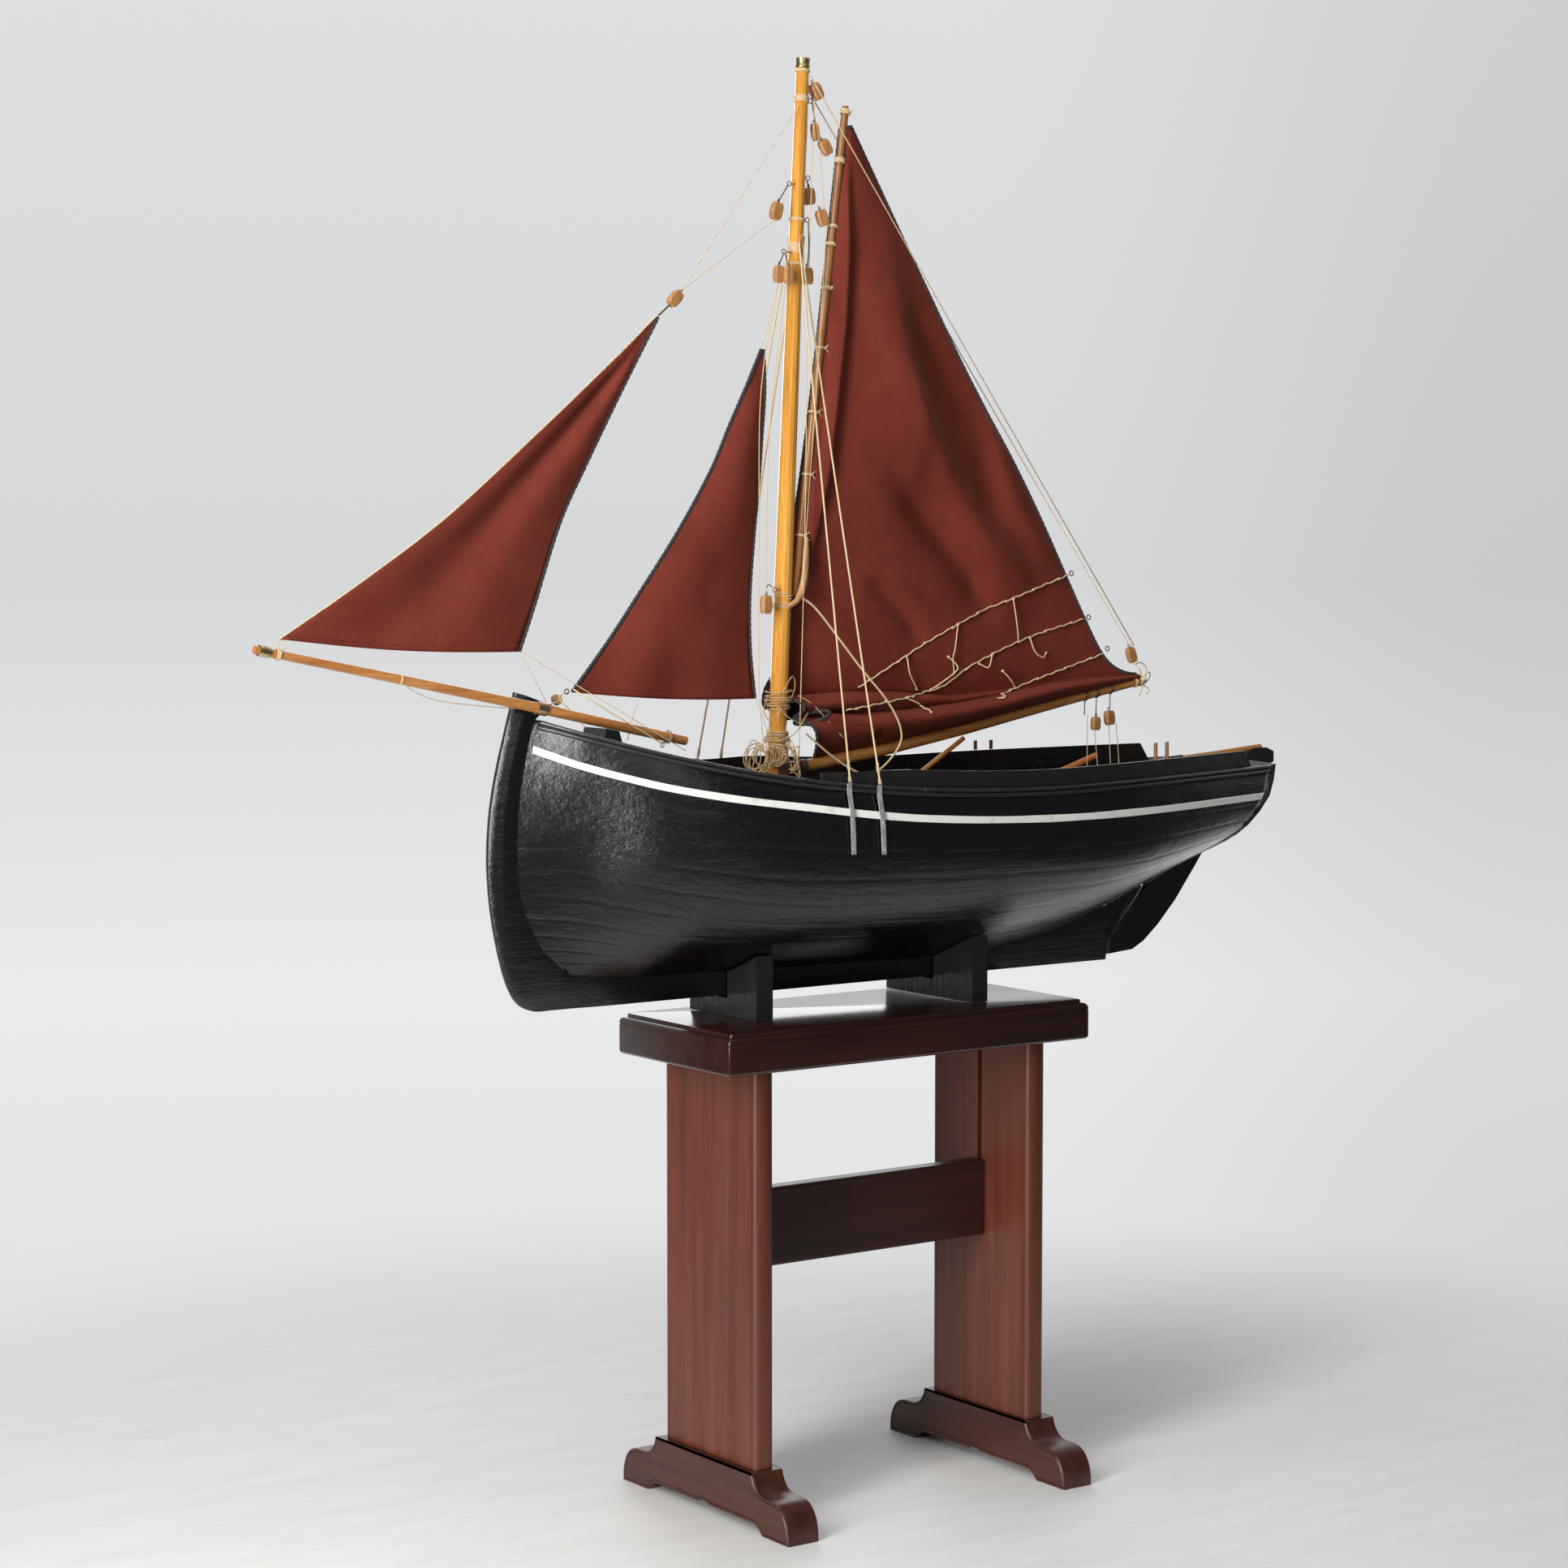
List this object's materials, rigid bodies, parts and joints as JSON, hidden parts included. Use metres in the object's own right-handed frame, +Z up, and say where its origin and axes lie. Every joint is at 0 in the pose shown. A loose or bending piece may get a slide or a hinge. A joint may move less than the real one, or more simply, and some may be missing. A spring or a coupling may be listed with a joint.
{
  "type": "model gaff sailing cutter on a stand",
  "caption": "Wooden model sailing cutter with tan gaff mainsail, foresail and jib, standing in two cradles on a trestle stand",
  "frame": {"origin": "middle of the whole object's footprint box, at floor level", "axes": "+X towards the bow, +Y to port, +Z up"},
  "size_m": [1.3664, 0.3551, 1.5796],
  "materials": {
    "slab": "dark mahogany stain, polished, almost black, with a reflective top",
    "mahogany": "red-brown mahogany stain, satin varnish, straight grain",
    "cradle_black": "black paint, semi-gloss, brushed",
    "hull_black": "glossy black paint over planking, faint plank seams and brush marks",
    "white_stripe": "hand-painted white line, slightly uneven",
    "iron": "dull silver-grey iron, worn",
    "plain_wood": "plain wood, oiled",
    "golden_pine": "golden varnished pine, glossy",
    "brass": "brass, lightly tarnished",
    "varnished_spar": "orange-brown varnished pine, satin",
    "dark_wood": "dark stained wood",
    "bamboo": "bamboo cane with nodes, satin",
    "pale_wood": "pale bent wood",
    "tan_cloth": "tanned red-brown sailcloth, plain weave, black bolt ropes",
    "cord": "cream twisted cord",
    "grey_plastic": "dark grey moulded plastic",
    "white_plastic": "white nylon",
    "battery_wrap": "blue shrink wrap"
  },
  "bodies": {
    "stand": {"stand_top": "slab", "fore_leg": "mahogany", "aft_leg": "mahogany", "fore_foot": "mahogany", "aft_foot": "mahogany", "stretcher": "mahogany", "fore_cradle": "cradle_black", "aft_cradle": "cradle_black"},
    "boat": {"hull_shell": "hull_black", "stem": "hull_black", "keel": "hull_black", "sternpost": "hull_black", "transom": "hull_black", "port_rail": "hull_black", "starboard_rail": "hull_black", "port_coaming": "hull_black", "starboard_coaming": "hull_black", "foredeck": "hull_black", "aft_deck": "hull_black", "bowsprit_bitt": "hull_black", "port_stripe": "white_stripe", "starboard_stripe": "white_stripe", "port_fore_chainplate": "iron", "port_aft_chainplate": "iron", "starboard_fore_chainplate": "iron", "starboard_aft_chainplate": "iron", "bowsprit_heel_ring": "iron", "port_fore_tholepin": "plain_wood", "port_aft_tholepin": "plain_wood", "starboard_fore_tholepin": "plain_wood", "starboard_aft_tholepin": "plain_wood", "hold_floor": "plain_wood", "mast": "golden_pine", "mast_cap": "brass", "bowsprit_tip_band": "brass", "bowsprit_stem_band": "brass", "bowsprit": "varnished_spar", "boom_prop": "varnished_spar", "deck_peg": "varnished_spar", "port_shrouds": "cord", "starboard_shrouds": "cord", "rudder_servo": "grey_plastic", "sheet_winch": "grey_plastic", "receiver": "grey_plastic", "battery_pack": "battery_wrap"},
    "rudder_unit": {"rudder": "hull_black", "tiller": "varnished_spar"},
    "servo_arm": {"servo_horn": "white_plastic"},
    "drum": {"winch_drum": "white_plastic"},
    "main_rig": {"boom": "varnished_spar", "boom_jaws": "dark_wood", "gaff": "bamboo", "gaff_jaws": "pale_wood", "mainsail": "tan_cloth", "topping_lift": "cord", "halyard_tail": "cord", "boom_end_block": "plain_wood", "mainsheet_block": "plain_wood"},
    "foresail_unit": {"foresail": "tan_cloth"},
    "jib_unit": {"jib": "tan_cloth"}
  },
  "joints": [
    {"name": "boat_lift", "type": "slide", "parent": "stand", "child": "boat", "axis": [0, 0, 1], "range_m": [0, 0.2]},
    {"name": "rudder_hinge", "type": "hinge", "parent": "boat", "child": "rudder_unit", "pos_m": [-0.4879, -0.0056, 0.644], "axis": [-0.6952, 0, 0.7189], "range_deg": [-25, 25]},
    {"name": "servo_turn", "type": "hinge", "parent": "boat", "child": "servo_arm", "pos_m": [-0.4602, -0.0056, 0.753], "axis": [0, 0, 1], "range_deg": [-25, 25]},
    {"name": "boom_swing", "type": "hinge", "parent": "boat", "child": "main_rig", "pos_m": [0.0432, -0.0056, 0.7997], "axis": [-0.0465, 0, 0.9989], "range_deg": [-40, 40]},
    {"name": "drum_turn", "type": "hinge", "parent": "boat", "child": "drum", "pos_m": [-0.2702, -0.0056, 0.675], "axis": [0, 0, 1], "range_deg": [-120, 120]},
    {"name": "foresail_swing", "type": "hinge", "parent": "boat", "child": "foresail_unit", "pos_m": [0.305, -0.0056, 0.8979], "axis": [-0.5531, 0, 0.8331], "range_deg": [-20, 20]},
    {"name": "jib_swing", "type": "hinge", "parent": "boat", "child": "jib_unit", "pos_m": [0.6538, 0.0114, 0.961], "axis": [-0.806, -0.03, 0.5912], "range_deg": [-20, 20]}
  ],
  "couplings": [
    {"joint": "servo_turn", "follows": "rudder_hinge", "ratio": 1},
    {"joint": "drum_turn", "follows": "boom_swing", "ratio": 3}
  ]
}
